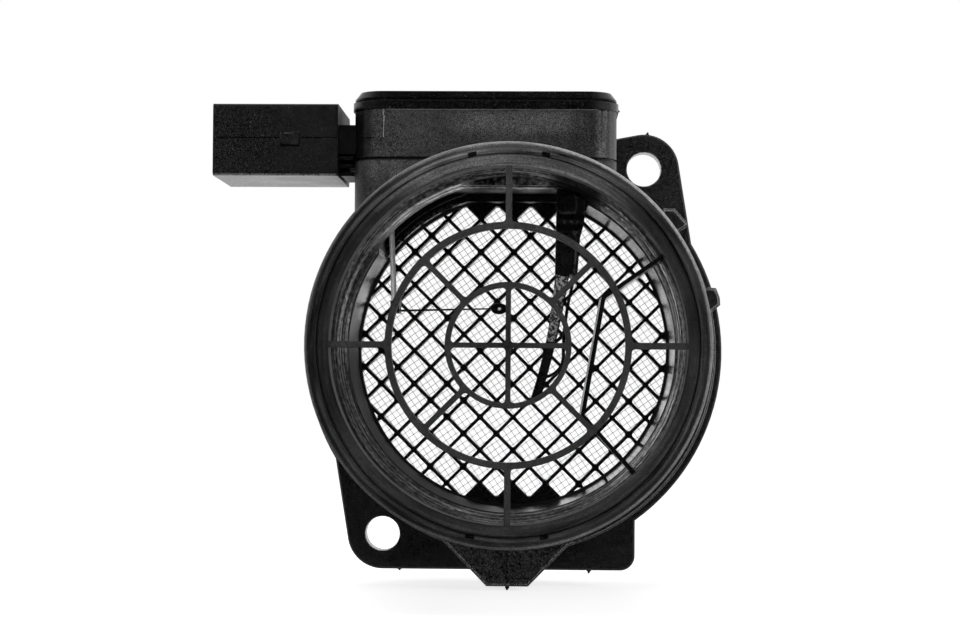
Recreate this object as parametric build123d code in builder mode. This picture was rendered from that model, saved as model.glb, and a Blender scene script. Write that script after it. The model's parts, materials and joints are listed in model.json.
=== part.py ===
from build123d import *
from math import cos, hypot, radians, sin
import os

# Mass airflow sensor: a duct with a plug-in electronics module on top.
# Frame: the duct's axis is Y, and the air leaves along +Y. The origin is the centre of the flange's rear
# mounting face, +X is to the right seen from the hose end, and +Z is up, towards the electronics.
# A "station" is a distance ahead of the mounting face, against the flow, so it is minus Y.
# A "level" is a height above the duct's axis. All sizes are millimetres.

os.makedirs("parts", exist_ok=True)

# ---- Clearances
press_gap = 0.1        # between pieces pressed or bonded together
slip_gap = 0.25        # between pieces that are dropped in

# ---- Duct
duct_length = 72.0
bore_radius = 33.4
duct_wall = 3.0
bead_height = 1.6
bead_length = 5.0
bead_ramp = 1.2
bead_round = 1.1
bore_flat = 31.9       # level of the flat along the top of the bore
flat_front = 48.4      # station where that flat begins

# ---- Collar behind the duct, with its tab and lugs
collar_radius = 43.0
collar_length = 9.0
collar_chamfer = 0.45   # round the front of the collar, its tab and its lugs
tab_length = 8.0
tab_root_half = 13.7
tab_root_level = -40.4
tab_end_half = 4.4
tab_reach = 49.9       # from the duct's axis down to the tab's end
tab_shift = -0.9
lug_length = 5.0
upper_lug = [(31.9, 30.3), (34.2, 30.3), (36.7, 27.5), (36.9, 26.9), (36.6, 26.4), (35.4, 25.6)]
side_lug = [(41.3, 13.6), (43.0, 13.5), (43.8, 11.4), (43.9, 9.9), (42.2, 8.5)]

# ---- Rear moulding
plate_radius = 44.9
plate_thickness = 5.0
plate_round = 0.4
ear_radius = 7.6
ear_top_slope = 10.6   # degrees that an ear's upper edge falls towards the disc
ear_side_slope = 9.2   # degrees that its outer edge leans out on the way to the disc
ear_edge_length = 19.0
bolt_x = 28.0
bolt_z = 39.5
bolt_hole_radius = 3.7
foot_right = 26.4
foot_corner = 3.2
spigot_wall = 3.4       # outside the seat of the screen and the lattice
spigot_length = 12.0
spigot_chamfer = 1.0
sleeve_front = 30.5
sleeve_wall = 1.4
sleeve_chamfer = 0.5    # inside its front edge
seal_section = 1.3     # radius of the flange seal's cord
seal_squeeze = 0.6     # how far it stands out of its groove
seal_back = 3.0        # distance of the seal behind the mounting face

# ---- Guard in the mouth
guard_seat_depth = 5.0
guard_seat_wall = 2.3  # radial depth of the seat outside the bore
guard_setback = 0.3
guard_bar_depth = 2.5
guard_bar_setback = 0.9
guard_outer_ring = 23.0
guard_outer_width = 1.2
guard_inner_ring = 11.8
guard_inner_width = 1.0
guard_hub_spoke = 0.95
guard_mid_spoke = 1.05
guard_rim_spoke = 1.2
guard_fillet = 0.7
notch_angle = 11.0
notch_width = 1.5
notch_reach = 0.7
notch_depth = 1.2

# ---- Partition
partition_wall = 0.8
partition_front = 66.4
partition_length = 19.5
partition_key = 0.6    # how far its edges sit in the duct's wall
partition_upper_bend = (17.8, 9.2)
partition_lower_bend = (14.0, -13.0)
partition_upper_angle = 30.8
partition_lower_angle = -45.3

# ---- Screen, lattice and their ring
seat_station = 5.5     # shoulder that the screen rests against
insert_wall = 1.2      # radial depth of the seat outside the bore
screen_thickness = 0.4
screen_pitch = 5.4
screen_bar = 0.4
screen_turn = 35.0
screen_rim = 0.7
lattice_depth = 4.0
lattice_pitch = 5.05
lattice_bar = 0.68
lattice_bars_each_side = 6
lattice_flat_lip = 0.6   # how far the lattice's flats stand below the bore's
ring_depth = 2.0
ring_wall = 1.3

# ---- Pedestal, housing and cover
box_left = -31.4
box_right = 20.9
box_front = 47.0       # station
box_rear = 9.5         # station
box_corner = 6.0
joint_level = 37.2
pedestal_root = 14.0   # level inside the duct's wall where the pedestal starts
housing_wall = 2.0
housing_floor = 1.9
housing_height = 11.5
rim_band = 1.6
rim_proud = 0.35
cover_seal_height = 0.3
cover_seal_inset = 0.45
cover_thickness = 1.8
cover_bevel = 1.1
cover_bevel_height = 1.4
cover_lip_depth = 1.5
cover_lip_wall = 1.2
plug_left = -27.0
plug_right = 15.2
plug_front = 38.2      # station
plug_rear = 10.9       # station
plug_corner = 1.8
plug_level = 33.4      # its flat underside, above the bore
gasket_level = 34.6
gasket_height = 1.5
gasket_groove = 1.0
joint_gap = 0.35       # open line round the foot of the housing
joint_gap_depth = 0.5

# ---- Connector
shroud_length = 24.85
shroud_width = 26.0
shroud_tall = 14.3
shroud_wall = 1.7
shroud_corner = 0.8
shroud_station = 33.5  # middle
socket_depth = 20.5
neck_length = 3.0
neck_width = 19.0
neck_tall = 5.8
neck_rise = 0.4        # middle of the neck above the middle of the shroud
fin_count = 3
fin_thickness = 0.8
fin_pitch = 1.5
latch_length = 3.7
latch_tall = 2.4
latch_height = 0.9
latch_back = 13.5      # from the mouth to the latch lug
key_rib_width = 1.4
key_rib_height = 1.0
key_rib_spacing = 14.0
terminal_count = 5
terminal_pitch = 4.0
terminal_blade = 2.2
terminal_shank = 1.2
terminal_thickness = 0.64
terminal_setback = 4.0 # from the mouth to the blades' tips
terminal_tip = 1.2
terminal_tip_width = 1.2
terminal_shoulder = 1.4
terminal_lap = 3.0     # length lying on the board

# ---- Circuit board
board_thickness = 1.6
chip_size = (10.0, 8.0, 1.6)
chip_place = (-6.0, 30.0)
regulator_size = (6.6, 6.1, 2.3)
regulator_place = (-19.5, 19.0)
capacitor_size = (3.2, 2.5, 1.8)
capacitor_place = (-4.0, 17.0)
capacitor_pitch = 5.5
capacitor_count = 3
chip_bevel = 0.3

# ---- Sensor arm (points are X and level)
arm_front = 37.8       # station
arm_depth = 16.0
arm_left = 9.1
arm_right = 14.9
arm_step = (14.6, 25.5)
arm_waist = (13.8, 22.5)
arm_knee_left = (8.8, 15.0)
arm_knee_right = (13.3, 15.0)
carrier_top = (10.25, 15.0)
carrier_bend = (7.7, -0.1)
carrier_tip = (5.1, -9.8)
carrier_top_width = 2.9
carrier_width = 2.0
bow_wall = 0.6
bow_top = (13.0, 15.4)
bow_middle = (11.2, 7.4)
bow_low = (10.6, -1.0)
bow_heel = (9.8, -3.9)
bow_end = (7.2, -5.6)
arm_block_place = (11.3, 29.2)
arm_block_width = 3.6
arm_block_tall = 3.8
arm_block_proud = 0.5
tongue_left = 10.4
tongue_right = 13.6
tongue_height = 5.0
tongue_inset = 0.8
tongue_corner = 0.5
window_top = 0.20      # share of the carrier's upper length
window_bottom = 0.85
window_front = 3.4     # behind the arm's front edge
window_length = 9.6
film_thickness = 0.35
film_width = 4.3
film_margin = 0.3
film_key = 0.06        # share of the length let into each end of the window
potting_depth = 1.5
potting_skin = 0.2
potting_top = 0.02
potting_bottom = 0.9
pin_radius = 0.3
pin_count = 4
pin_rise = 0.8

# ---- Air temperature sensor
prong_radius = 0.4
prong_x = -24.5
prong_end_x = -23.8
prong_front = 36.2     # station
prong_rear = 31.4      # station
prong_bend_level = 24.6
prong_bend_radius = 4.0
spacer_left = -24.4
spacer_right = -22.6
spacer_bottom = 7.1
spacer_top = 9.5
spacer_margin = 0.8
prong_key = 1.2
lead_radius = 0.14
lead_level = 7.6
bead_x = -2.5
bead_level = 8.1
bead_half_length = 1.7
bead_half_height = 1.15
bead_flat = 0.17       # cut off the bead's end where the leads go in
bead_station = 34.2
lead_spread = 0.5
lead_key = 0.6

# ---- Derived sizes
tube_radius = bore_radius + duct_wall
bead_radius = tube_radius + bead_height
collar_front = plate_thickness + collar_length
sleeve_radius = bore_radius + sleeve_wall
guard_seat_radius = bore_radius + guard_seat_wall
insert_radius = bore_radius + insert_wall
spigot_radius = insert_radius + spigot_wall
seal_radius = spigot_radius + seal_squeeze - seal_section
screen_rear = seat_station - screen_thickness
lattice_rear = screen_rear - lattice_depth
ring_rear = lattice_rear - ring_depth
rim_level = joint_level + housing_height
cover_level = rim_level + cover_seal_height
floor_level = joint_level + housing_floor
board_level = floor_level + board_thickness
terminal_level = board_level + terminal_thickness / 2
shroud_end = box_left - neck_length
shroud_mouth = shroud_end - shroud_length
tongue_level = bore_flat + tongue_height
arm_rear = arm_front - arm_depth
far = 200.0            # longer than the part, for cuts that run right through


def station(ahead):
    """The plane across the duct at a station, facing the hose end."""
    return Plane.XZ.offset(ahead)


def level(height):
    """The horizontal plane at a level."""
    return Plane.XY.offset(height)


def on_circle(radius, angle):
    return (radius * cos(radians(angle)), radius * sin(radians(angle)))


def footprint(left, right, front, rear, corner, mode=Mode.ADD):
    """A round-cornered rectangle seen from above, between two X values and two stations."""
    with Locations(((left + right) / 2, -(front + rear) / 2)):
        RectangleRounded(right - left, front - rear, corner, mode=mode)


def box_footprint(inset=0.0, mode=Mode.ADD):
    footprint(box_left + inset, box_right - inset, box_front - inset, box_rear + inset,
              box_corner - inset, mode)


def plug_footprint(grow=0.0, mode=Mode.ADD):
    footprint(plug_left - grow, plug_right + grow, plug_front + grow, plug_rear - grow,
              plug_corner + grow, mode)


def flat_topped_circle(radius, flat=bore_flat):
    """A circle cut off at the level of the bore's flat."""
    Circle(radius)
    with Locations((0, flat + radius / 2)):
        Rectangle(2 * radius, radius, mode=Mode.SUBTRACT)


def partition_outline(wall):
    """The bent partition seen from the hose end, a little longer than the way to the duct's wall."""
    upper = on_circle(tube_radius, partition_upper_angle)
    lower = on_circle(tube_radius, partition_lower_angle)
    with BuildLine() as path:
        Polyline(upper, partition_upper_bend, partition_lower_bend, lower)
        offset(amount=wall / 2, kind=Kind.INTERSECTION)
    make_face(path.edges())
    Circle(bore_radius + partition_key, mode=Mode.INTERSECT)


def terminal_outline(row):
    """A terminal's blade and shank, seen from above."""
    middle = -shroud_station + (row - (terminal_count - 1) / 2) * terminal_pitch
    tip = shroud_mouth + terminal_setback
    shoulder = shroud_mouth + socket_depth + terminal_shoulder
    tail = box_left + housing_wall + slip_gap + terminal_lap
    half_tip, half_blade, half_shank = terminal_tip_width / 2, terminal_blade / 2, terminal_shank / 2
    edge = [(tip, half_tip), (tip + terminal_tip, half_blade), (shoulder, half_blade),
            (shoulder, half_shank), (tail, half_shank)]
    upper = [(x, middle + y) for x, y in edge]
    lower = [(x, middle - y) for x, y in reversed(edge)]
    Polyline(*upper, *lower, close=True)


def tongue_footprint(grow=0.0):
    """The arm's tongue, which sits in the plug, seen from above."""
    footprint(tongue_left - grow, tongue_right + grow, arm_front - tongue_inset + grow,
              arm_rear + tongue_inset - grow, tongue_corner + grow)


def carrier_point(share, side=0.0):
    """A point on the sensor arm's element carrier: a share of its upper length, and a sideways offset."""
    run_x = carrier_bend[0] - carrier_top[0]
    run_z = carrier_bend[1] - carrier_top[1]
    length = hypot(run_x, run_z)
    return (carrier_top[0] + share * run_x - side * run_z / length,
            carrier_top[1] + share * run_z + side * run_x / length)


def film_outline():
    start, end = window_top - film_key, window_bottom + film_key
    half = film_thickness / 2
    Polyline(carrier_point(start, -half), carrier_point(start, half), carrier_point(end, half),
             carrier_point(end, -half), close=True)


def potting_outline():
    """The potting seen from the hose end: it tapers with the carrier."""
    left, right = potting_skin - carrier_top_width / 2, carrier_top_width / 2 - potting_skin
    low_left, low_right = potting_skin - carrier_width / 2, carrier_width / 2 - potting_skin
    Polyline(carrier_point(potting_top, left), carrier_point(potting_top, right),
             carrier_point(potting_bottom, low_right), carrier_point(potting_bottom, low_left), close=True)


def pin_places():
    """The arm's contact pins, seen from above, in a row along the tongue."""
    step = (arm_depth - 2 * tongue_inset) / pin_count
    x = (tongue_left + tongue_right) / 2
    return [(x, -(arm_rear + tongue_inset + (row + 0.5) * step)) for row in range(pin_count)]


def prong_places():
    return [(prong_x, -prong_front), (prong_x, -prong_rear)]


def save(piece, name):
    piece.part.label = name
    export_step(piece.part, f"parts/{name}.step")


# ---- Inlet tube: duct, hose bead, collar, tab, lugs and the pedestal for the electronics
with BuildPart() as inlet_tube:
    with BuildSketch(Plane.XY):
        with BuildLine():
            bead_rear = bead_length - duct_length
            Polyline((0, -plate_thickness), (collar_radius, -plate_thickness), (collar_radius, -collar_front),
                     (tube_radius, -collar_front), (tube_radius, bead_rear + bead_ramp),
                     (bead_radius, bead_rear), (bead_radius, -duct_length), (0, -duct_length), close=True)
        make_face()
    revolve(axis=Axis.Y)
    fillet(inlet_tube.edges().filter_by(GeomType.CIRCLE).sort_by(Axis.Y)[0], bead_round)
    with BuildSketch(station(collar_front - tab_length)):
        with BuildLine():
            Polyline((tab_shift - tab_root_half, tab_root_level), (tab_shift - tab_end_half, -tab_reach),
                     (tab_shift + tab_end_half, -tab_reach), (tab_shift + tab_root_half, tab_root_level),
                     (0, -tube_radius), close=True)
        make_face()
    extrude(amount=tab_length)
    with BuildSketch(station(collar_front - lug_length)):
        for corners in (upper_lug, side_lug):
            with BuildLine():
                Polyline(*corners, (0, 0), close=True)
            make_face()
    extrude(amount=lug_length)
    collar_face = inlet_tube.faces().filter_by(lambda face: abs(face.center().Y + collar_front) < 0.01)
    chamfer(collar_face.sort_by(SortBy.AREA)[-1].outer_wire().edges(), collar_chamfer)
    with BuildSketch(level(pedestal_root)):
        box_footprint()
    extrude(amount=joint_level - pedestal_root)
    # The partition's grooves are cut first, while the duct is still solid.
    with BuildSketch(station(partition_front - partition_length)):
        partition_outline(partition_wall + 2 * press_gap)
    extrude(amount=duct_length - guard_seat_depth - partition_front + partition_length, mode=Mode.SUBTRACT)
    # The bore is round at the mouth and has a flat along its top from the step to the rear.
    with BuildSketch(station(flat_front)):
        Circle(bore_radius)
    extrude(amount=far, mode=Mode.SUBTRACT)
    with BuildSketch(station(0)):
        flat_topped_circle(bore_radius)
    extrude(amount=flat_front, mode=Mode.SUBTRACT)
    with BuildSketch(station(plate_thickness)):
        Circle(sleeve_radius + press_gap)
    extrude(amount=sleeve_front - plate_thickness + press_gap, mode=Mode.SUBTRACT)
    with BuildSketch(station(duct_length - guard_seat_depth)):
        Circle(guard_seat_radius)
    extrude(amount=guard_seat_depth, mode=Mode.SUBTRACT)
    with BuildSketch(station(duct_length - notch_depth)):
        for turn in (90 - notch_angle, 90 + notch_angle, 270 - notch_angle, 270 + notch_angle):
            with Locations(Location(on_circle(guard_seat_radius, turn) + (0,), turn)):
                Rectangle(2 * notch_reach, notch_width)
    extrude(amount=notch_depth, mode=Mode.SUBTRACT)
    with BuildSketch(level(pedestal_root)):
        plug_footprint(slip_gap)
    extrude(amount=joint_level - pedestal_root, mode=Mode.SUBTRACT)
    # The collar is cut off level where the electronics housing sits.
    with BuildSketch(level(joint_level)):
        box_footprint(-slip_gap)
    extrude(amount=collar_radius, mode=Mode.SUBTRACT)
save(inlet_tube, "inlet_tube")

# ---- Rear flange: round plate with bolt ears and a foot, inner sleeve and spigot
with BuildPart() as rear_flange:
    with BuildSketch(station(0)):
        Circle(plate_radius)
        ears = [(bolt_x, bolt_z), (-bolt_x, -bolt_z)]
        with Locations(*ears):
            Circle(ear_radius)
        for side in (1, -1):
            with BuildLine():
                top = on_circle(ear_radius, 90 + ear_top_slope)
                outer = on_circle(ear_radius, ear_side_slope)
                top_run = on_circle(ear_edge_length, 180 + ear_top_slope)
                outer_run = on_circle(ear_edge_length, ear_side_slope - 90)
                edge = [(top[0] + top_run[0], top[1] + top_run[1]), top, outer,
                        (outer[0] + outer_run[0], outer[1] + outer_run[1])]
                Polyline((0, 0), *[(side * (bolt_x + x), side * (bolt_z + z)) for x, z in edge], close=True)
            make_face()
        # The foot runs level along the bottom, from the lower ear to a round corner at the right.
        foot_level = -bolt_z - ear_radius
        with BuildLine():
            start, end = (-bolt_x, foot_level), (foot_right, foot_level / 2)
            FilletPolyline(start, (foot_right, foot_level), end, radius=foot_corner)
            Polyline(end, (0, 0), start)
        make_face()
    extrude(amount=plate_thickness)
    chamfer(rear_flange.faces().sort_by(Axis.Y)[0].outer_wire().edges(), plate_round)
    with BuildSketch(station(0)):
        Circle(spigot_radius)
    extrude(amount=-spigot_length)
    chamfer(rear_flange.edges().filter_by(GeomType.CIRCLE).sort_by(Axis.Y)[-1], spigot_chamfer)
    with BuildSketch(station(plate_thickness)):
        Circle(sleeve_radius)
    extrude(amount=sleeve_front - plate_thickness)
    with BuildSketch(station(seat_station)):
        flat_topped_circle(bore_radius)
    extrude(amount=sleeve_front - seat_station, mode=Mode.SUBTRACT)
    chamfer(rear_flange.faces().sort_by(Axis.Y)[0].inner_wires()[0].edges(), sleeve_chamfer)
    with BuildSketch(station(seat_station)):
        Circle(insert_radius + press_gap)
    extrude(amount=-seat_station - spigot_length, mode=Mode.SUBTRACT)
    with BuildSketch(level(pedestal_root)):
        plug_footprint(slip_gap)
    extrude(amount=joint_level - pedestal_root, mode=Mode.SUBTRACT)
    with BuildSketch(station(0)):
        with Locations(*ears):
            Circle(bolt_hole_radius)
    extrude(amount=plate_thickness, mode=Mode.SUBTRACT)
    # Groove for the ring seal, cut round the spigot
    with BuildSketch(Plane.XY):
        with Locations((seal_radius - seal_section + spigot_radius, seal_back + seal_section)):
            Rectangle(2 * spigot_radius, 2 * seal_section + 2 * press_gap)
    revolve(axis=Axis.Y, mode=Mode.SUBTRACT)
save(rear_flange, "rear_flange")

# ---- Flange seal: a round rubber ring in the spigot's groove
with BuildPart() as flange_seal:
    with BuildSketch(Plane.XY):
        with Locations((seal_radius, seal_back + seal_section)):
            Circle(seal_section)
    revolve(axis=Axis.Y)
save(flange_seal, "flange_seal")

# ---- Inlet guard: a rim pressed into the mouth, and a spider of two rings and twelve spokes
with BuildPart() as inlet_guard:
    with BuildSketch(station(duct_length - guard_seat_depth)):
        Circle(guard_seat_radius - press_gap)
        Circle(bore_radius, mode=Mode.SUBTRACT)
    extrude(amount=guard_seat_depth - guard_setback)
    with BuildSketch(station(duct_length - guard_bar_setback - guard_bar_depth)) as spider:
        Circle(guard_outer_ring)
        Circle(guard_outer_ring - guard_outer_width, mode=Mode.SUBTRACT)
        Circle(guard_inner_ring)
        Circle(guard_inner_ring - guard_inner_width, mode=Mode.SUBTRACT)
        inner_middle = guard_inner_ring - guard_inner_width / 2
        outer_middle = guard_outer_ring - guard_outer_width / 2
        rim_middle = bore_radius + guard_seat_wall / 2
        for first, start, end, width in ((0, 0, inner_middle, guard_hub_spoke),
                                         (45, inner_middle, outer_middle, guard_mid_spoke),
                                         (0, outer_middle, rim_middle, guard_rim_spoke)):
            with PolarLocations((start + end) / 2, 4, start_angle=first):
                Rectangle(end - start, width)
        # Every inner corner is rounded. The circles also start in a point each, on the X axis.
        corners = spider.vertices().filter_by(lambda v: hypot(v.X, v.Y) < bore_radius - guard_fillet)
        fillet(corners.filter_by(lambda v: abs(v.Y) > press_gap), guard_fillet)
    extrude(amount=guard_bar_depth)
save(inlet_guard, "inlet_guard")

# ---- Flow partition: a thin wall with two bends, keyed into the duct's wall at both edges
with BuildPart() as flow_partition:
    with BuildSketch(station(partition_front - partition_length + press_gap)):
        partition_outline(partition_wall)
    extrude(amount=partition_length - press_gap)
save(flow_partition, "flow_partition")

# ---- Rear lattice: a diagonal grid with flats and filled corners at top and bottom
with BuildPart() as rear_lattice:
    with BuildSketch(station(lattice_rear)):
        # The bars, clipped to a circle with a flat at top and bottom
        for turn in (45, -45):
            for row in range(-lattice_bars_each_side, lattice_bars_each_side + 1):
                across = on_circle(row * lattice_pitch, turn + 90)
                with Locations(Location((across[0], across[1], 0), turn)):
                    Rectangle(2 * insert_radius, lattice_bar)
        # The corners of the grid that end at a flat are filled.
        node_step = lattice_pitch * 2 ** 0.5
        node_level = int(bore_flat / node_step) * node_step
        for side in (1, -1):
            for column in (-1, 0, 1):
                with BuildLine():
                    apex = (column * node_step, side * node_level)
                    reach = insert_radius - node_level
                    Polyline(apex, (apex[0] - reach, side * insert_radius),
                             (apex[0] + reach, side * insert_radius), close=True)
                make_face()
        for side in (1, -1):
            with Locations((0, side * (bore_flat - lattice_flat_lip + insert_radius) / 2)):
                Rectangle(2 * insert_radius, insert_radius - bore_flat + lattice_flat_lip)
        Circle(insert_radius, mode=Mode.INTERSECT)
    extrude(amount=lattice_depth)
    with BuildSketch(station(lattice_rear)):
        Circle(insert_radius)
        Circle(bore_radius, mode=Mode.SUBTRACT)
    extrude(amount=lattice_depth)
save(rear_lattice, "rear_lattice")

# ---- Wire screen: a thin disc of square gaps, turned against the lattice
with BuildPart() as wire_screen:
    with BuildSketch(station(screen_rear)):
        Circle(insert_radius)
        Circle(insert_radius - insert_wall - screen_rim, mode=Mode.SUBTRACT)
        bars_each_side = int(bore_radius / screen_pitch)
        for turn in (screen_turn, screen_turn + 90):
            for row in range(-bars_each_side, bars_each_side + 1):
                across = on_circle(row * screen_pitch, turn + 90)
                with Locations(Location((across[0], across[1], 0), turn)):
                    Rectangle(2 * insert_radius, screen_bar)
        Circle(insert_radius, mode=Mode.INTERSECT)
    extrude(amount=screen_thickness)
save(wire_screen, "wire_screen")

# ---- Ring that holds the screen and the lattice against their shoulder
with BuildPart() as screen_retaining_ring:
    with BuildSketch(station(ring_rear)):
        Circle(insert_radius)
        Circle(insert_radius - ring_wall, mode=Mode.SUBTRACT)
    extrude(amount=ring_depth)
save(screen_retaining_ring, "screen_retaining_ring")

# ---- Electronics housing: tray, plug into the duct, connector shroud, neck and fins
with BuildPart() as electronics_housing:
    with BuildSketch(level(joint_level)):
        box_footprint()
    extrude(amount=housing_height)
    with BuildSketch(level(rim_level - rim_band)):
        box_footprint(-rim_proud)
    extrude(amount=rim_band)
    with BuildSketch(level(floor_level)):
        box_footprint(housing_wall)
    extrude(amount=rim_level - floor_level, mode=Mode.SUBTRACT)
    with BuildSketch(level(joint_level)):
        box_footprint(-rim_proud)
        box_footprint(joint_gap_depth, Mode.SUBTRACT)
    extrude(amount=joint_gap, mode=Mode.SUBTRACT)
    # The plug closes the duct's window, and stops short of the bore.
    with BuildSketch(level(plug_level)):
        plug_footprint()
    extrude(amount=joint_level - plug_level)
    with BuildSketch(level(gasket_level)):
        plug_footprint(slip_gap)
        plug_footprint(-gasket_groove, Mode.SUBTRACT)
    extrude(amount=gasket_height, mode=Mode.SUBTRACT)
    # Shroud, neck and the fins under the neck
    with BuildSketch(Plane.YZ.offset(shroud_mouth)):
        with Locations((-shroud_station, terminal_level)):
            RectangleRounded(shroud_width, shroud_tall, shroud_corner)
    extrude(amount=shroud_length)
    with BuildSketch(Plane.YZ.offset(shroud_end)):
        with Locations((-shroud_station, terminal_level + neck_rise)):
            Rectangle(neck_width, neck_tall)
    extrude(amount=neck_length + housing_wall / 2)
    with BuildSketch(Plane.YZ.offset(shroud_end)):
        for row in range(fin_count):
            fin_level = terminal_level + neck_rise - neck_tall / 2 - (row + 0.5) * fin_pitch
            with Locations((-shroud_station, fin_level)):
                Rectangle(neck_width - 2 * (row + 1) * fin_thickness, fin_thickness)
    extrude(amount=neck_length - slip_gap)
    # Gusset that carries the fins
    with BuildSketch(station(shroud_station - fin_thickness)):
        with BuildLine():
            gusset_foot = terminal_level + neck_rise - neck_tall / 2 - fin_count * fin_pitch
            Polyline((shroud_end, terminal_level), (shroud_end, gusset_foot),
                     (box_left - slip_gap, joint_level), (box_left, terminal_level), close=True)
        make_face()
    extrude(amount=2 * fin_thickness)
    with BuildSketch(station(shroud_station - shroud_width / 2 - latch_height)):
        with Locations((shroud_mouth + latch_back + latch_length / 2, terminal_level)):
            Rectangle(latch_length, latch_tall)
    extrude(amount=shroud_width + 2 * latch_height)
    # Socket, with two keying ribs along its upper wall
    with BuildSketch(Plane.YZ.offset(shroud_mouth)):
        with Locations((-shroud_station, terminal_level)):
            Rectangle(shroud_width - 2 * shroud_wall, shroud_tall - 2 * shroud_wall)
        rib_level = terminal_level + shroud_tall / 2 - shroud_wall - key_rib_height / 2
        with Locations((-shroud_station - key_rib_spacing / 2, rib_level),
                       (-shroud_station + key_rib_spacing / 2, rib_level)):
            Rectangle(key_rib_width, key_rib_height, mode=Mode.SUBTRACT)
    extrude(amount=socket_depth, mode=Mode.SUBTRACT)
    # Slots for the terminals, pocket for the arm's tongue, and holes for its pins and the prongs
    with BuildSketch(level(board_level)):
        for row in range(terminal_count):
            with BuildLine():
                terminal_outline(row)
            make_face()
    extrude(amount=terminal_thickness, mode=Mode.SUBTRACT)
    with BuildSketch(level(0)):
        tongue_footprint(slip_gap)
    extrude(amount=tongue_level, mode=Mode.SUBTRACT)
    with BuildSketch(level(0)):
        with Locations(*pin_places()):
            Circle(pin_radius + press_gap)
        with Locations(*prong_places()):
            Circle(prong_radius + press_gap)
    extrude(amount=floor_level, mode=Mode.SUBTRACT)
save(electronics_housing, "electronics_housing")

# ---- Gasket round the plug
with BuildPart() as housing_gasket:
    with BuildSketch(level(gasket_level)):
        plug_footprint(slip_gap)
        plug_footprint(-gasket_groove, Mode.SUBTRACT)
    extrude(amount=gasket_height)
save(housing_gasket, "housing_gasket")

# ---- Cover, with a lip that locates it inside the tray, and the seal under its edge
with BuildPart() as housing_cover:
    with BuildSketch(level(cover_level)):
        box_footprint()
    extrude(amount=cover_thickness)
    cover_top = housing_cover.faces().sort_by(Axis.Z)[-1]
    chamfer(cover_top.edges(), cover_bevel, cover_bevel_height, reference=cover_top)
    with BuildSketch(level(cover_level)):
        box_footprint(housing_wall + slip_gap)
        box_footprint(housing_wall + slip_gap + cover_lip_wall, Mode.SUBTRACT)
    extrude(amount=-cover_lip_depth)
save(housing_cover, "housing_cover")

with BuildPart() as cover_seal:
    with BuildSketch(level(rim_level)):
        box_footprint(cover_seal_inset)
        box_footprint(housing_wall, Mode.SUBTRACT)
    extrude(amount=cover_seal_height)
save(cover_seal, "cover_seal")

# ---- Circuit board and what is soldered on it
with BuildPart() as circuit_board:
    with BuildSketch(level(floor_level)):
        box_footprint(housing_wall + slip_gap)
        with Locations(*pin_places()):
            Circle(pin_radius + press_gap, mode=Mode.SUBTRACT)
        with Locations(*prong_places()):
            Circle(prong_radius + press_gap, mode=Mode.SUBTRACT)
    extrude(amount=board_thickness)
save(circuit_board, "circuit_board")


def board_component(name, size, x, ahead, bevel):
    with BuildPart() as component:
        with BuildSketch(level(board_level)):
            with Locations((x, -ahead)):
                Rectangle(size[0], size[1])
        extrude(amount=size[2])
        chamfer(component.faces().sort_by(Axis.Z)[-1].edges(), bevel)
    save(component, name)


board_component("signal_chip", chip_size, *chip_place, chip_bevel)
board_component("voltage_regulator", regulator_size, *regulator_place, chip_bevel)
for number in range(capacitor_count):
    first_x, ahead = capacitor_place
    board_component(f"capacitor_{number + 1}", capacitor_size, first_x + number * capacitor_pitch, ahead,
                    chip_bevel / 2)

# ---- Terminals
for row in range(terminal_count):
    with BuildPart() as terminal:
        with BuildSketch(level(board_level)):
            with BuildLine():
                terminal_outline(row)
            make_face()
        extrude(amount=terminal_thickness)
    save(terminal, f"terminal_{row + 1}")

# ---- Sensor arm: root with a raised block and a tongue, element carrier with a window, and the bow beside it
with BuildPart() as sensor_arm:
    with BuildSketch(station(arm_rear)):
        with BuildLine():
            root_level = plug_level - press_gap
            Polyline((arm_left, root_level), (arm_right, root_level), arm_step, arm_waist, arm_knee_right,
                     arm_knee_left, close=True)
        make_face()
        with BuildLine():
            bend_left = (carrier_bend[0] - carrier_width / 2, carrier_bend[1])
            bend_right = (carrier_bend[0] + carrier_width / 2, carrier_bend[1])
            top_left = (carrier_top[0] - carrier_top_width / 2, carrier_top[1])
            top_right = (carrier_top[0] + carrier_top_width / 2, carrier_top[1])
            tip_left = (carrier_tip[0] - carrier_width / 2, carrier_tip[1])
            tip_right = (carrier_tip[0] + carrier_width / 2, carrier_tip[1])
            ThreePointArc(top_left, bend_left, tip_left)
            Line(tip_left, tip_right)
            ThreePointArc(tip_right, bend_right, top_right)
            Line(top_right, top_left)
        make_face()
    extrude(amount=arm_depth)
    with BuildSketch(station(arm_rear)):
        with BuildLine() as bow:
            ThreePointArc(bow_top, bow_middle, bow_low)
            ThreePointArc(bow_low, bow_heel, bow_end)
            offset(amount=bow_wall / 2)
        make_face(bow.edges())
    extrude(amount=arm_depth)
    with BuildSketch(station(arm_front)):
        with Locations(arm_block_place):
            RectangleRounded(arm_block_width, arm_block_tall, tongue_corner)
    extrude(amount=arm_block_proud, taper=20)
    with BuildSketch(level(arm_step[1])):
        tongue_footprint()
    extrude(amount=tongue_level - arm_step[1])
    with BuildSketch(station(arm_front - window_front - window_length)):
        with BuildLine():
            corners = [(window_top, -carrier_top_width), (window_top, carrier_top_width),
                       (window_bottom, carrier_top_width), (window_bottom, -carrier_top_width)]
            Polyline(*[carrier_point(share, side) for share, side in corners], close=True)
        make_face()
    extrude(amount=window_length, mode=Mode.SUBTRACT)
    # Slots for the films' ends, and the recess for the potting
    with BuildSketch(station(arm_front - window_front - window_length)):
        with BuildLine():
            film_outline()
        make_face()
    extrude(amount=window_length, mode=Mode.SUBTRACT)
    with BuildSketch(station(arm_front - potting_depth)):
        with BuildLine():
            potting_outline()
        make_face()
    extrude(amount=potting_depth, mode=Mode.SUBTRACT)
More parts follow.
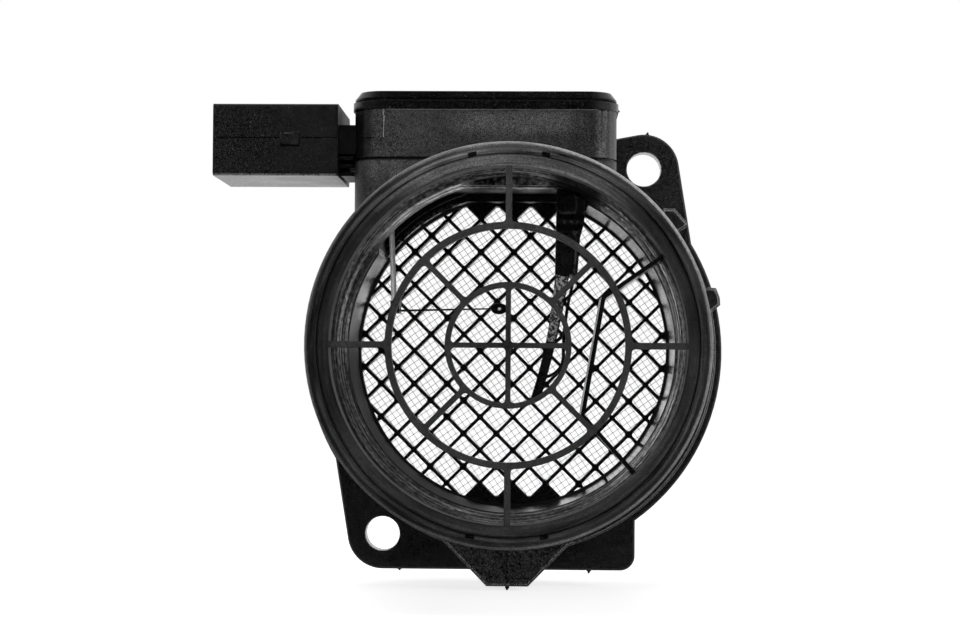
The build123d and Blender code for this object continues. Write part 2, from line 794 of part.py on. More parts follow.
save(sensor_arm, "sensor_arm")

# ---- The two film elements, which bridge the carrier's window, and the potting over their ends
for name, behind in (("heated_film", 0), ("reference_film", 1)):
    with BuildPart() as film:
        film_front = arm_front - window_front - film_margin - behind * (film_width + film_margin)
        with BuildSketch(station(film_front - film_width)):
            with BuildLine():
                film_outline()
            make_face()
        extrude(amount=film_width)
    save(film, name)

with BuildPart() as element_potting:
    with BuildSketch(station(arm_front - potting_depth)):
        with BuildLine():
            potting_outline()
        make_face()
    extrude(amount=potting_depth)
save(element_potting, "element_potting")

# ---- Contact pins from the arm's tongue to the board
for number, (pin_x, pin_y) in enumerate(pin_places()):
    with BuildPart() as element_pin:
        with BuildSketch(level(tongue_level)):
            with Locations((pin_x, pin_y)):
                Circle(pin_radius)
        extrude(amount=board_level + pin_rise - tongue_level)
    save(element_pin, f"element_pin_{number + 1}")

# ---- Air temperature sensor: two prongs, two leads, the post that ties the prongs' ends, and the bead
bead_place = (bead_x, -bead_station, bead_level)
wires = []
for name, ahead, side in (("front", prong_front, 1), ("rear", prong_rear, -1)):
    with BuildPart() as prong:
        with BuildLine():
            FilletPolyline((prong_x, -ahead, board_level + pin_rise), (prong_x, -ahead, prong_bend_level),
                           (prong_end_x, -ahead, spacer_top - prong_key), radius=prong_bend_radius)
        with BuildSketch(level(board_level + pin_rise)):
            with Locations((prong_x, -ahead)):
                Circle(prong_radius)
        sweep()
    save(prong, f"thermistor_prong_{name}")
    with BuildPart() as lead:
        start = Vector(spacer_right - lead_key, -ahead, lead_level)
        end = Vector(bead_x - bead_half_length + lead_key, -bead_station - side * lead_spread / 2,
                     bead_level)
        with BuildSketch(Plane(origin=start, z_dir=end - start)):
            Circle(lead_radius)
        extrude(amount=(end - start).length)
    save(lead, f"thermistor_lead_{name}")
    wires += [prong.part, lead.part]

with BuildPart() as thermistor_spacer:
    with BuildSketch(station(prong_rear - spacer_margin)):
        with Locations(((spacer_left + spacer_right) / 2, (spacer_bottom + spacer_top) / 2)):
            Rectangle(spacer_right - spacer_left, spacer_top - spacer_bottom)
    extrude(amount=prong_front - prong_rear + 2 * spacer_margin)
    for wire in wires:
        add(wire, mode=Mode.SUBTRACT)
save(thermistor_spacer, "thermistor_spacer")

with BuildPart() as thermistor_bead:
    with BuildSketch(Plane(origin=bead_place, x_dir=(1, 0, 0), z_dir=(0, -1, 0))):
        Ellipse(bead_half_length, bead_half_height)
        with Locations((0, -bead_half_height)):
            Rectangle(2 * bead_half_length, 2 * bead_half_height, mode=Mode.SUBTRACT)
        with Locations((bead_flat - 2 * bead_half_length, 0)):
            Rectangle(2 * bead_half_length, 2 * bead_half_height, mode=Mode.SUBTRACT)
    revolve(axis=Axis(bead_place, (1, 0, 0)))
    for wire in wires:
        add(wire, mode=Mode.SUBTRACT)
save(thermistor_bead, "thermistor_bead")
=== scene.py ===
"""Looks for a duct-type mass airflow sensor, laid out as a Blender add-on and run as a script.

The frame is metres, +Y with the flow, +Z towards the electronics box, and the origin is the centre of the
flange's rear mounting face. Sizes in the property groups are metres unless they say otherwise.
"""

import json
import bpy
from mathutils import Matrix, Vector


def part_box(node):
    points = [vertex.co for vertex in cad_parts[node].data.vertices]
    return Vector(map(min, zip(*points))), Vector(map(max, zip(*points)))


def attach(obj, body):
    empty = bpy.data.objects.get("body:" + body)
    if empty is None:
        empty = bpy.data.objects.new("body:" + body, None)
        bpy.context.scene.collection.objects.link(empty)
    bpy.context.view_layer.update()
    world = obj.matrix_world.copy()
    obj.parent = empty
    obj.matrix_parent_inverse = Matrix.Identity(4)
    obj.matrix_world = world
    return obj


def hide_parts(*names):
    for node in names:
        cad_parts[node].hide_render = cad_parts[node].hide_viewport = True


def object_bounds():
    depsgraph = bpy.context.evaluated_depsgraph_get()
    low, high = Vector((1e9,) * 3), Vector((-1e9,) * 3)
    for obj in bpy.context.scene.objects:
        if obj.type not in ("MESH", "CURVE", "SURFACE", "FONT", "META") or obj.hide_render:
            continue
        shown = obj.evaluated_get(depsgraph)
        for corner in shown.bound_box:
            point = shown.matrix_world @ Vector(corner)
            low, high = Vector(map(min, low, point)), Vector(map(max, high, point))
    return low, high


bl_info = {
    "name": "Mass Airflow Sensor Looks",
    "version": (1, 0, 0),
    "blender": (4, 5, 0),
    "location": "View3D > Sidebar > Sensor",
    "description": "Finishes, woven screen, mould marks and studio for a mass airflow sensor",
    "category": "Object",
}

from math import pi, radians, sqrt
from random import Random

import bpy
from bpy.props import FloatProperty, FloatVectorProperty, PointerProperty
from mathutils import Matrix, Vector

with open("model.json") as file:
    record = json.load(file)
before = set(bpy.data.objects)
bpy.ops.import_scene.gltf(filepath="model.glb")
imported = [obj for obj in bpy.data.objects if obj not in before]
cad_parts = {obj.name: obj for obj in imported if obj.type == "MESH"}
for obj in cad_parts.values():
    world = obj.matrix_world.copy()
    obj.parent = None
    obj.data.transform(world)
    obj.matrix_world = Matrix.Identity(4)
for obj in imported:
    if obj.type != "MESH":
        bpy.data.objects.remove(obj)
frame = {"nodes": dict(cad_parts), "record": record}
CAD_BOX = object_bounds()
NODES = frame["nodes"]
MM = 0.001

# What a noise swings about
MEAN = 0.5
# Refraction of nylon, epoxy and rubber
PLASTIC_IOR = 1.5
# Centres of the flange's bolt holes, across and up, in millimetres
BOLT_HOLES = ((28.0, 39.5), (-28.0, -39.5))
# Centre and radius of the dimple on the thermistor's bead, painted pale as a highlight, in millimetres
BEAD_DIMPLE_AND_HIGHLIGHT = (-2.41, 8.04)
BEAD_DIMPLE_AND_HIGHLIGHT_RADIUS = 0.3


# ---- Sizes and colours that a user would change

def colour_property(name, description, grey):
    return FloatVectorProperty(name=name, description=description, subtype="COLOR", size=3,
                               min=0.0, max=1.0, default=(grey, grey, grey))


def length_property(name, description, size):
    return FloatProperty(name=name, description=description, default=size, min=0.0, unit="LENGTH",
                         precision=5)


def power_property(name, description, power):
    return FloatProperty(name=name, description=description, default=power, min=0.0, unit="POWER")


class SensorFinishes(bpy.types.PropertyGroup):
    duct_colour: colour_property("Duct", "Glass-filled nylon of the duct", 0.014)
    flange_colour: colour_property("Flange", "Glass-filled nylon of the flange and its ears", 0.006)
    housing_colour: colour_property("Housing", "Plastic of the electronics housing and its connector", 0.010)
    cover_colour: colour_property("Cover", "Smooth plastic of the cover", 0.0015)
    guard_colour: colour_property("Guard", "Plastic of the inlet guard", 0.024)
    lattice_colour: colour_property("Lattice", "Plastic of the rear lattice and its ring", 0.004)
    arm_colour: colour_property("Arm", "Glossier plastic of the sensing arm", 0.004)
    rubber_colour: colour_property("Rubber", "Seals and gasket", 0.02)
    potting_colour: colour_property("Potting", "Speckled compound over the film elements", 0.28)
    film_colour: colour_property("Film", "Ceramic film elements", 0.6)
    wire_colour: colour_property("Wire", "Bright steel of the screen and leads", 0.38)
    prong_colour: colour_property("Prongs", "Tin-plated prongs of the air temperature sensor", 0.9)
    edge_radius: length_property("Edge radius", "Soft edge that every moulding has", 0.22 * MM)


class SensorScreen(bpy.types.PropertyGroup):
    pitch: length_property("Pitch", "Distance between the screen's wires", 1.27 * MM)
    wire: length_property("Wire", "Diameter of the screen's wires", 0.10 * MM)
    turn: FloatProperty(name="Turn", description="Angle of the weave about the duct", subtype="ANGLE",
                        default=radians(35))
    reach: length_property("Reach", "Radius that the wires run out to", 34.3 * MM)


class SensorLattice(bpy.types.PropertyGroup):
    pitch: length_property("Pitch", "Distance between the lattice's bars", 5.05 * MM)
    knot: length_property("Knot", "Radius of the knot at each crossing", 0.72 * MM)
    shift: FloatVectorProperty(name="Shift", description="Place of the middle crossing, across and up",
                               size=2, unit="LENGTH", default=(0.0, 0.0))

class SensorStudio(bpy.types.PropertyGroup):
    key_power: power_property("Key", "Power of the softbox overhead", 2.2)
    side_power: power_property("Side", "Power of the softbox at the right", 1.3)
    fill_power: power_property("Fill", "Power of the fill at the left", 0.6)
    front_power: power_property("Front", "Power of the softbox behind the camera", 4.0)
    camera_distance: length_property("Distance", "From the mouth of the duct to the camera", 399.5 * MM)
    lens: FloatProperty(name="Lens", description="Focal length", unit="CAMERA", default=80.93)


# ---- Shader maths

class Wire:
    """A socket that sums can be written with."""

    def __init__(self, shader, socket):
        self.shader = shader
        self.socket = socket

    def math(self, operation, *values, clamp=False):
        return self.shader.node("ShaderNodeMath", {"operation": operation, "use_clamp": clamp},
                                dict(enumerate(values)))

    def __add__(self, other):
        return self.math("ADD", self, other)

    def __radd__(self, other):
        return self.math("ADD", other, self)

    def __sub__(self, other):
        return self.math("SUBTRACT", self, other)

    def __rsub__(self, other):
        return self.math("SUBTRACT", other, self)

    def __mul__(self, other):
        return self.math("MULTIPLY", self, other)

    def __rmul__(self, other):
        return self.math("MULTIPLY", other, self)

    def __pow__(self, other):
        return self.math("POWER", self, other)

    def clamped(self):
        return self.math("ADD", self, 0.0, clamp=True)

    def clamped_below(self):
        return self.math("MAXIMUM", self, 0.0)


class Shader:
    """One node tree, with a single method that adds any node."""

    def __init__(self, tree):
        self.tree = tree
        tree.nodes.clear()

    def node(self, kind, settings=None, inputs=None, output=0):
        node = self.tree.nodes.new(kind)
        for name, value in (settings or {}).items():
            if name == "stops":
                self.ramp(node, value)
            else:
                setattr(node, name, value)
        for name, value in (inputs or {}).items():
            socket = node.inputs[name]
            if isinstance(value, Wire):
                self.tree.links.new(value.socket, socket)
            else:
                socket.default_value = value
        return Wire(self, node.outputs[output]) if len(node.outputs) else node

    def ramp(self, node, stops):
        elements = node.color_ramp.elements
        while len(elements) < len(stops):
            elements.new(0.5)
        for element, (place, grey) in zip(elements, stops):
            element.position = place
            element.color = (grey, grey, grey, 1)

    def place(self):
        """Where a point is, in millimetres."""
        return self.node("ShaderNodeVectorMath", {"operation": "SCALE"},
                         {0: self.node("ShaderNodeTexCoord", output="Object"), "Scale": 1 / MM})

    def split(self, vector):
        node = self.node("ShaderNodeSeparateXYZ", None, {0: vector}).socket.node
        return [Wire(self, node.outputs[axis]) for axis in "XYZ"]

    def stretch(self, vector, scale):
        return self.node("ShaderNodeMapping", None, {"Vector": vector, "Scale": scale})

    def noise(self, vector, size, detail=2.0, roughness=0.5):
        return self.node("ShaderNodeTexNoise", None,
                         {"Vector": vector, "Scale": 1 / size, "Detail": detail, "Roughness": roughness})

    def step(self, value, start, end):
        """0 at start and 1 at end, smoothly between them."""
        return self.node("ShaderNodeMapRange", {"interpolation_type": "SMOOTHSTEP"},
                         {"Value": value, "From Min": start, "From Max": end})

    def band(self, value, low, high, soft):
        """1 between low and high, fading to 0 over the soft width at both ends."""
        return self.step(value, low - soft, low + soft) * self.step(value, high + soft, high - soft)

    def ramped(self, value, *stops):
        return self.node("ShaderNodeValToRGB", {"stops": stops}, {"Fac": value})

    def mix(self, factor, first, second):
        return self.node("ShaderNodeMix", {"data_type": "RGBA"}, {0: factor, 6: first, 7: second}, output=2)

    def toned(self, tone, colour, most=20.0):
        """The colour times a tone of 0 up to the most that it may be."""
        return self.mix((tone * (1 / most)).clamped(), grey(0.0), rgba(colour, most))

    def bump(self, height, distance, normal=None):
        inputs = {"Height": height, "Distance": distance}
        if normal is not None:
            inputs["Normal"] = normal
        return self.node("ShaderNodeBump", None, inputs)

    def soft_edges(self, radius):
        return self.node("ShaderNodeBevel", {"samples": 6}, {"Radius": radius})

    def turned_rings(self, radius, x, z, size):
        """Rings round the duct that change only slowly on the way round."""
        slow = 0.04
        place = self.node("ShaderNodeCombineXYZ", None, {0: radius, 1: x * slow, 2: z * slow})
        return self.noise(place, size, detail=3.0, roughness=0.6)

    def distance(self, x, z, centre):
        """How far a point is from a centre, seen along the duct."""
        return ((x - centre[0]) ** 2.0 + (z - centre[1]) ** 2.0) ** 0.5

    def ray(self, kind):
        """1 for rays of one kind, such as Camera or Glossy, and 0 for all others."""
        return self.node("ShaderNodeLightPath", output=f"Is {kind} Ray")

    def edges(self, radius):
        """1 along sharp edges, 0 on the faces between them."""
        real = self.node("ShaderNodeNewGeometry", output="Normal")
        facing = self.node("ShaderNodeVectorMath", {"operation": "DOT_PRODUCT"},
                           {0: self.soft_edges(radius), 1: real}, output="Value")
        flat, sharp = 0.985, 0.90
        return self.step(facing, flat, sharp)

    def surface(self, **inputs):
        names = {name.replace("_", " ").title(): value for name, value in inputs.items()}
        if "Ior" in names:
            names["IOR"] = names.pop("Ior")
        shader = self.node("ShaderNodeBsdfPrincipled", None, names)
        self.node("ShaderNodeOutputMaterial", None, {"Surface": shader})


def material(name):
    made = bpy.data.materials.new(name)
    made.use_nodes = True
    return made, Shader(made.node_tree)


def grey(value):
    return (value, value, value, 1)


def rgba(colour, share=1.0):
    return tuple(channel * share for channel in colour) + (1,)

def moulded_plastic(name, colour, zones, grain=1.0, ior=PLASTIC_IOR):
    """Moulded plastic: spark-eroded grain, mottling, dust and soft edges.

    zones returns four values that may change over the piece: the tone, which multiplies the colour, the
    roughness, the relief, which multiplies the grain's height, and the speckle, which multiplies its spots.
    """
    made, s = material(name)
    place = s.place()
    coarse = s.noise(place, 0.75, detail=3.0, roughness=0.6)
    fine = s.noise(place, 0.24, detail=1.0)
    cloud = s.noise(place, 9.0, detail=3.0, roughness=0.6)
    dust = s.step(s.noise(place, 0.42, detail=1.0), 0.68, 0.76)
    dust_share, dust_grey, grain_depth = 0.09, 0.3, 0.035 * MM
    tone, rough, relief, speck = zones(s, place)
    spots = ((fine - MEAN) * 5.6 + (coarse - MEAN) * 1.5) * speck
    mottled = ((spots + 1.0) * tone * (cloud * 1.4 + 0.3)).clamped_below()
    height = coarse * 0.6 + fine * 0.4
    rough = rough + (cloud - MEAN) * 0.2 + (fine - MEAN) * 0.2 + (coarse - MEAN) * 0.25 * relief
    soft = s.soft_edges(bpy.context.scene.sensor_finishes.edge_radius)
    s.surface(base_color=s.mix(dust * dust_share, s.toned(mottled, colour), grey(dust_grey)),
              roughness=rough.clamped(), normal=s.bump(height * relief, grain_depth * grain, soft), ior=ior)
    return made


# Zones of the mouldings. Places are in millimetres: x to the right seen from the mouth, ahead from the
# flange's rear face towards the mouth, z up. A mask is near 1 where its name holds and 0 elsewhere.

def round_axis(s, place):
    """X, how far ahead, level and the distance from the duct's axis."""
    x, y, z = s.split(place)
    return x, y * -1.0, z, (x * x + z * z) ** 0.5


def bore_look(s, place, x, ahead, z):
    """Tone, roughness and right side of the bore.

    It is drawn with fine rings, painted shade in a ring and towards the mouth, a painted shadow beside the
    arm and a painted reflection above the window.
    """
    rings = s.noise(s.stretch(place, (0.3, 1.0, 0.3)), 8.0, detail=4.0, roughness=0.9) - MEAN
    brushed = s.noise(s.stretch(place, (1.0, 0.2, 1.0)), 0.9) - MEAN
    scored = s.step(s.noise(s.stretch(place, (0.14, 1.0, 0.14)), 3.6, detail=1.0), 0.44, 0.56) - MEAN
    # A faint ring of painted shade
    step_ring = s.band(ahead, 47.6, 50.4, 0.3)
    # Painted reflection: a pale run on the bore's upper left, above the window
    painted_reflection_run = s.band(ahead, 38.6, 50.0, 0.6) * s.band(x, -27.0, -9.0, 2.0) * s.step(z, 18.0, 24.0)
    # Painted shade towards the mouth, next to the guard's seat
    mouth = s.step(ahead, 48.0, 66.0) * s.step(z, 30.0, 22.0)
    # Painted shadow of the arm on the bore beside it
    painted_arm_shadow = s.band(x, 8.0, 17.5, 2.0) * s.step(z, 22.0, 26.0) * s.step(ahead, 30.0, 38.0)
    joint = s.step(ahead, 35.5, 32.5) * 0.8
    right = s.step(x, 8.0, 28.0) * s.step(z, 18.0, 8.0)
    low_left = s.step(x, -8.0, -26.0) * s.step(z, 4.0, -10.0)
    tone = rings * 60.0 + brushed * 40.0 + scored * 5.5 + 4.2 + painted_reflection_run * 60.0
    tone = tone * (1.0 + right * 0.8 - low_left * 0.45) * (1.0 - mouth * 0.6) * (1.0 - painted_arm_shadow)
    tone = tone * (1.0 - step_ring * 0.3) * (1.0 - joint)
    rough = rings * 1.2 - scored * 0.35 - brushed * 0.6 + 0.56 - painted_reflection_run * 0.3 + joint * 0.5
    rough = rough + mouth * 0.15 + painted_arm_shadow * 0.4 - right * 0.08 + low_left * 0.15
    return tone, rough, right


def outside_look(s, place, x, ahead, z, radius):
    """Tone, roughness, lip and tab of the duct's outside.

    The lip has painted light at the top and a painted highlight on its rolled edge, and the foot under the
    housing is mottled, mostly paler.
    """
    lip = s.step(ahead, 62.0, 66.0)
    # Painted light on the lip's top and right
    lit = s.step(z, 23.0, 37.0) * 3.2 + s.step(x, 20.0, 37.0) * 0.3
    turned = s.turned_rings(radius, x, z, 0.6) - MEAN
    upper_right = s.step(x, 4.0, 20.0) * s.step(z, 8.0, 22.0)
    # Painted highlight on the lip's rolled edge, brightest on the right
    rolled_edge = s.step(radius, 37.25, 37.6) * s.step(ahead, 70.4, 71.2)
    rolled = rolled_edge * (s.step(x, -16.0, 26.0) * 5.0 + upper_right * 7.0 + 3.0)
    # Painted shade in a furrow and a painted highlight on a ridge of the lip
    furrow = s.band(radius, 36.75, 37.05, 0.1) * 0.4
    ridge = s.band(radius, 36.2, 36.5, 0.1) * 0.5
    # Painted shade in the notches beside the lip's middle
    both_sides = s.band((x * x) ** 0.5, 6.05, 7.65, 0.1)
    notches = s.band(radius, 35.2, 36.5, 0.05) * both_sides * s.step(ahead, 70.0, 71.0) * 0.95
    # Painted shade in the seam between the lip and the guard
    seam = s.step(radius, 36.0, 35.75) * 0.45
    lip_tone = (lit + 1.0) * (turned * 5.0 + 1.0) * (1.0 + ridge)
    lip_tone = lip_tone * (1.0 - furrow) * (1.0 - notches) * (1.0 - seam) + rolled
    foot = s.band(ahead, 43.0, 58.0, 4.0) * s.step(z, 25.0, 30.0)
    shade = s.noise(s.stretch(place, (1.0, 1.0, 0.35)), 4.0, detail=4.0, roughness=0.7)
    collar = s.step(ahead, 20.0, 17.0)
    # Painted highlight along the edges of the collar and its tab
    painted_edge_highlight = s.edges(0.45 * MM) * collar
    tab = s.step(z, -38.0, -40.0) * collar
    tone = lip * lip_tone + (1.0 - lip) * (0.7 + tab * 0.3) + foot * (shade * 9.0 - 2.2) + painted_edge_highlight * 80.0
    # Painted shade on the duct along the joint under the housing
    under_box = s.step(z, 36.8, 37.1) * s.step(ahead, 64.0, 60.0) * 0.85
    return tone * (1.0 - under_box), 0.42 + foot * 0.1, lip, tab


def duct_zones(s, place):
    """The bore, the outside with its lip, and the coarser tab below the collar."""
    x, ahead, z, radius = round_axis(s, place)
    inside = s.step(radius, 34.4, 34.2)
    bore_tone, bore_rough, right = bore_look(s, place, x, ahead, z)
    outer_tone, outer_rough, lip, tab = outside_look(s, place, x, ahead, z, radius)
    tone = inside * bore_tone + (1.0 - inside) * outer_tone
    rough = inside * bore_rough + (1.0 - inside) * outer_rough
    relief = 1.0 + tab * 4.0 + inside * right * 0.8
    speck = 1.0 - lip * 0.5 + inside * (right * 0.9 - 0.3) + tab * 3.0
    return tone, rough, relief, speck


def flange_zones(s, place):
    """Glossy in the sleeve, with blotches of painted reflection that are duller at its lower left and paler
    at its lower right.
    """
    x, ahead, z, radius = round_axis(s, place)
    # Painted reflection in the sleeve: blotches, dimmed at the lower left and brightened at the lower right
    sleeve = s.step(radius, 34.2, 34.0) * s.step(ahead, 5.2, 5.8) * s.step(z, 31.6, 31.2)
    painted_reflection_blotches = s.noise(place, 1.7, detail=3.0, roughness=0.7) - 0.36
    holes = 0.0
    for centre in BOLT_HOLES:
        holes = holes + s.step(s.distance(x, z, centre), 3.95, 3.75)
    right = s.step(x, 4.0, 24.0)
    dim = s.step(x, 5.0, -15.0) * s.step(z, 12.0, -6.0)
    bright = s.step(x, 0.0, 16.0) * s.step(z, 9.0, -9.0)
    tone = 1.0 + right * 0.7 + sleeve * painted_reflection_blotches * (42.0 - dim * 36.0 + bright * 125.0) + holes * 20.0
    rough = 0.40 + sleeve * (dim * 0.4 - bright * 0.1 - 0.18) - holes * 0.23
    return tone, rough, 2.4 - sleeve * 2.0, 1.8


def housing_zones(s, place):
    """Painted highlight streaks on the box's front corner, painted shade at its rim and joint, painted
    reflection mottling the connector underneath.
    """
    x, y, z = s.split(place)
    ahead = y * -1.0
    facing_up = s.split(s.node("ShaderNodeNewGeometry", output="Normal"))[2]
    box = s.step(x, -33.0, -31.0)
    front = s.step(ahead, 46.2, 46.8) * box
    middle = s.band(x, -11.0, 12.5, 3.5) * s.band(z, 42.5, 46.4, 1.0)
    # Painted light and shade across the front's right corner: a highlight line where it starts, shade, then
    # streaked highlights on its rounding
    painted_corner_line = s.band(x, 13.6, 14.1, 0.15) * 0.8
    shaded = s.band(x, 11.5, 17.0, 1.0) * 1.1
    streaks = s.noise(s.stretch(place, (1.0, 1.0, 0.06)), 0.7, detail=3.0, roughness=0.6) - 0.3
    corner = s.band(x, 17.0, 20.6, 0.5) * streaks * 16.0
    # Painted shade on the box's top rim under the cover
    rim = s.step(z, 46.9, 47.2) * box
    # Painted shade in the gap along the joint with the duct
    joint = s.step(z, 37.8, 37.5) * box * 0.85
    # Painted reflection of the floor, mottling the connector's underside and weaker at two ledges
    under = s.step(facing_up, -0.3, -0.8) * s.step(z, 36.0, 35.0) * s.step(x, -33.0, -34.5)
    patch = s.noise(s.stretch(place, (0.5, 1.0, 1.0)), 3.2, detail=3.0, roughness=0.6) - 0.17
    ledges = s.band(ahead, 45.3, 45.6, 0.1) + s.band(x, -35.5, -35.2, 0.1)
    # Painted highlights on the latch's top and left edges and painted shade on its other edges
    latch = s.edges(0.3 * MM) * s.band(x, -46.6, -41.2, 0.1) * s.band(z, 39.6, 43.2, 0.1)
    glint = s.step(x, -42.6, -43.4) * s.step(z, 40.6, 41.4)
    # Painted shade in the neck between the connector and the box
    neck = s.band(x, -34.7, -29.3, 0.2) * 0.7
    socket = s.step(x, -34.5, -34.8) * s.step(facing_up, -0.8, -0.3) * 0.35
    tone = 1.0 + front * (1.7 + middle * 2.2 + painted_corner_line - shaded) + corner * box
    tone = tone + under * patch * (38.0 - ledges * 20.0) + latch * (glint * 9.0 - 2.0)
    tone = tone * (1.0 - rim * 0.9) * (1.0 - neck) * (1.0 - socket) * (1.0 - joint)
    return tone, 0.42 - under * 0.1 - rim * 0.18, 1.0 + front * 0.8, 1.0 + front * 0.2


def cover_zones(s, place):
    """The same all over: smooth and fairly glossy."""
    return 1.0, 0.24, 1.0, 1.0


def guard_zones(s, place):
    """Turned rings on the rim with painted light at the top and painted shade in its seam, and spokes darker
    at the hub with painted light towards the top.
    """
    x, ahead, z, radius = round_axis(s, place)
    rim = s.step(radius, 33.2, 33.6)
    # Painted light on the rim: strongest at the top, weaker at the bottom and right
    lit = s.step(z, 23.0, 33.0) * 2.6 + s.step(z, -8.0, -24.0) * 0.3 + s.step(x, 0.0, 24.0) * 0.15
    turned = s.turned_rings(radius, x, z, 0.7) - MEAN
    # Painted shade in the seam at the rim's edge
    seam = s.step(radius, 35.2, 35.4) * 0.45
    rim_tone = (lit + 0.42) * (turned * 4.0 + 1.0) * (1.0 - seam)
    # Spokes darker at the hub, with painted light towards the top
    body = s.step(radius, 1.0, 12.0) * 0.4 + 0.5 + s.step(z, 14.0, 30.0) * 0.3
    return (1.0 - rim) * body + rim * rim_tone, 0.5, 0.6, 0.5


def arm_zones(s, place):
    """Painted highlights on two edges of the block at the arm's root and on the front below that block, and
    two bands of painted shade.
    """
    x, y, z = s.split(place)
    block = s.band(z, 26.9, 31.4, 0.2)
    # Painted highlights on the block's right and lower edges
    lit = s.edges(0.4 * MM) * block * (s.step(x, 12.2, 12.8) + s.step(z, 28.0, 27.4)).clamped()
    # On the front only, painted highlights: a slanting line beside the elements, a row of three spots and a
    # small block
    front = s.step(y, -37.2, -37.6)
    painted_highlight_line = s.band(x - z * 0.08, 11.28, 11.5, 0.08) * s.band(z, 15.3, 20.8, 0.2)
    painted_highlight_spots = s.band(x, 10.2, 10.9, 0.2) * 0.6 + s.band(x, 11.8, 12.3, 0.2) + s.band(x, 12.9, 13.4, 0.2)
    tab = s.band(x, 12.5, 13.1, 0.2) * s.band(z, 22.6, 23.7, 0.2)
    marks = front * (painted_highlight_line * 40.0 + painted_highlight_spots * s.band(z, 25.2, 25.8, 0.2) * 9.0 + tab * 10.0)
    # Two bands of painted shade in the recesses below the block
    painted_shade_bands = (s.band(z, 23.9, 24.9, 0.2) + s.band(z, 26.1, 27.0, 0.2)) * 0.8
    return 1.1 * (1.0 - painted_shade_bands) + marks + lit * 150.0, 0.36, 2.5, 2.2


def plain_plastic(name, colour, roughness):
    """Plastic, rubber or ceramic: slightly clouded, with a fine grain and soft edges."""
    made, s = material(name)
    place = s.place()
    grain = s.noise(place, 0.4)
    cloud = s.noise(place, 4.0)
    s.surface(base_color=s.mix(cloud, rgba(colour, 0.6), rgba(colour, 1.4)),
              roughness=(roughness + (grain - MEAN) * 0.2).clamped(),
              normal=s.bump(grain, 0.006 * MM, s.soft_edges(0.12 * MM)), ior=PLASTIC_IOR)
    return made


def bright_metal(name, colour, roughness, metallic=1.0):
    """Drawn or plated metal, clouded and finely streaked."""
    made, s = material(name)
    place = s.place()
    streaks = s.noise(place, 0.3)
    cloud = s.noise(place, 3.0)
    s.surface(base_color=s.mix(cloud, rgba(colour, 0.85), rgba(colour, 1.1)),
              roughness=(roughness + (streaks - MEAN) * 0.15).clamped(), metallic=metallic,
              normal=s.bump(streaks, 0.003 * MM))
    return made


def dimpled_epoxy_with_highlight(name, colour, centre, radius):
    """Dark epoxy with one small dimple, painted pale as a highlight."""
    made, s = material(name)
    place = s.place()
    x, y, z = s.split(place)
    # The dimple is dented by the bump and painted pale as a highlight
    dimple_and_highlight = s.step(s.distance(x, z, centre), radius * 1.4, radius * 0.6)
    grain = s.noise(place, 0.4)
    s.surface(base_color=s.mix(dimple_and_highlight, rgba(colour), grey(0.8)),
              roughness=(0.25 + (grain - MEAN) * 0.2).clamped(),
              normal=s.bump(grain - dimple_and_highlight * 2.0, 0.02 * MM), ior=PLASTIC_IOR)
    return made


def speckled_potting(name, colour):
    """Grey compound with raised pale specks."""
    made, s = material(name)
    specks = s.step(s.noise(s.place(), 0.4, detail=3.0, roughness=0.6), 0.47, 0.56)
    s.surface(base_color=s.mix(specks, rgba(colour, 0.1), rgba(colour, 1.6)), roughness=0.55,
              normal=s.bump(specks, 0.05 * MM), ior=PLASTIC_IOR)
    return made


def board_laminate(name):
    """Green laminate with the weave of its glass cloth."""
    made, s = material(name)
    thread = 0.6
    weave = s.node("ShaderNodeTexChecker", None, {"Vector": s.place(), "Scale": 1 / thread}, output=1)
    s.surface(base_color=s.mix(weave, (0.02, 0.07, 0.03, 1), (0.03, 0.09, 0.04, 1)), roughness=0.4,
              normal=s.bump(weave, 0.01 * MM), ior=PLASTIC_IOR)
    return made


# ---- Helpers for modelling

def mm(x, y, z):
    """A point or a move given in millimetres."""
    return Vector((x * MM, y * MM, z * MM))


def deselect():
    if bpy.context.object and bpy.context.object.mode != "OBJECT":
        bpy.ops.object.mode_set(mode="OBJECT")
    bpy.ops.object.select_all(action="DESELECT")


def select_only(obj):
    deselect()
    obj.select_set(True)
    bpy.context.view_layer.objects.active = obj


def join(pieces, name):
    """Makes one piece of several, and names it."""
    deselect()
    for piece in pieces:
        piece.select_set(True)
    bpy.context.view_layer.objects.active = pieces[0]
    if len(pieces) > 1:
        bpy.ops.object.join()
    joined = bpy.context.object
    joined.name = joined.data.name = name
    return joined


def apply_place(obj):
    select_only(obj)
    bpy.ops.object.transform_apply(location=True, rotation=True, scale=True)


def edit(obj, action="DESELECT"):
    """Opens a piece for editing, with nothing or everything on it selected."""
    select_only(obj)
    bpy.ops.object.mode_set(mode="EDIT")
    bpy.ops.mesh.select_mode(type="FACE")
    bpy.ops.mesh.select_all(action=action)


def pick_faces(obj, test):
    """Selects the faces that a test holds for, and leaves the piece open for editing."""
    edit(obj)
    bpy.ops.object.mode_set(mode="OBJECT")
    for face in obj.data.polygons:
        face.select = test(face)
    bpy.ops.object.mode_set(mode="EDIT")


def extrude(move):
    bpy.ops.mesh.extrude_region_move(TRANSFORM_OT_translate={"value": move})


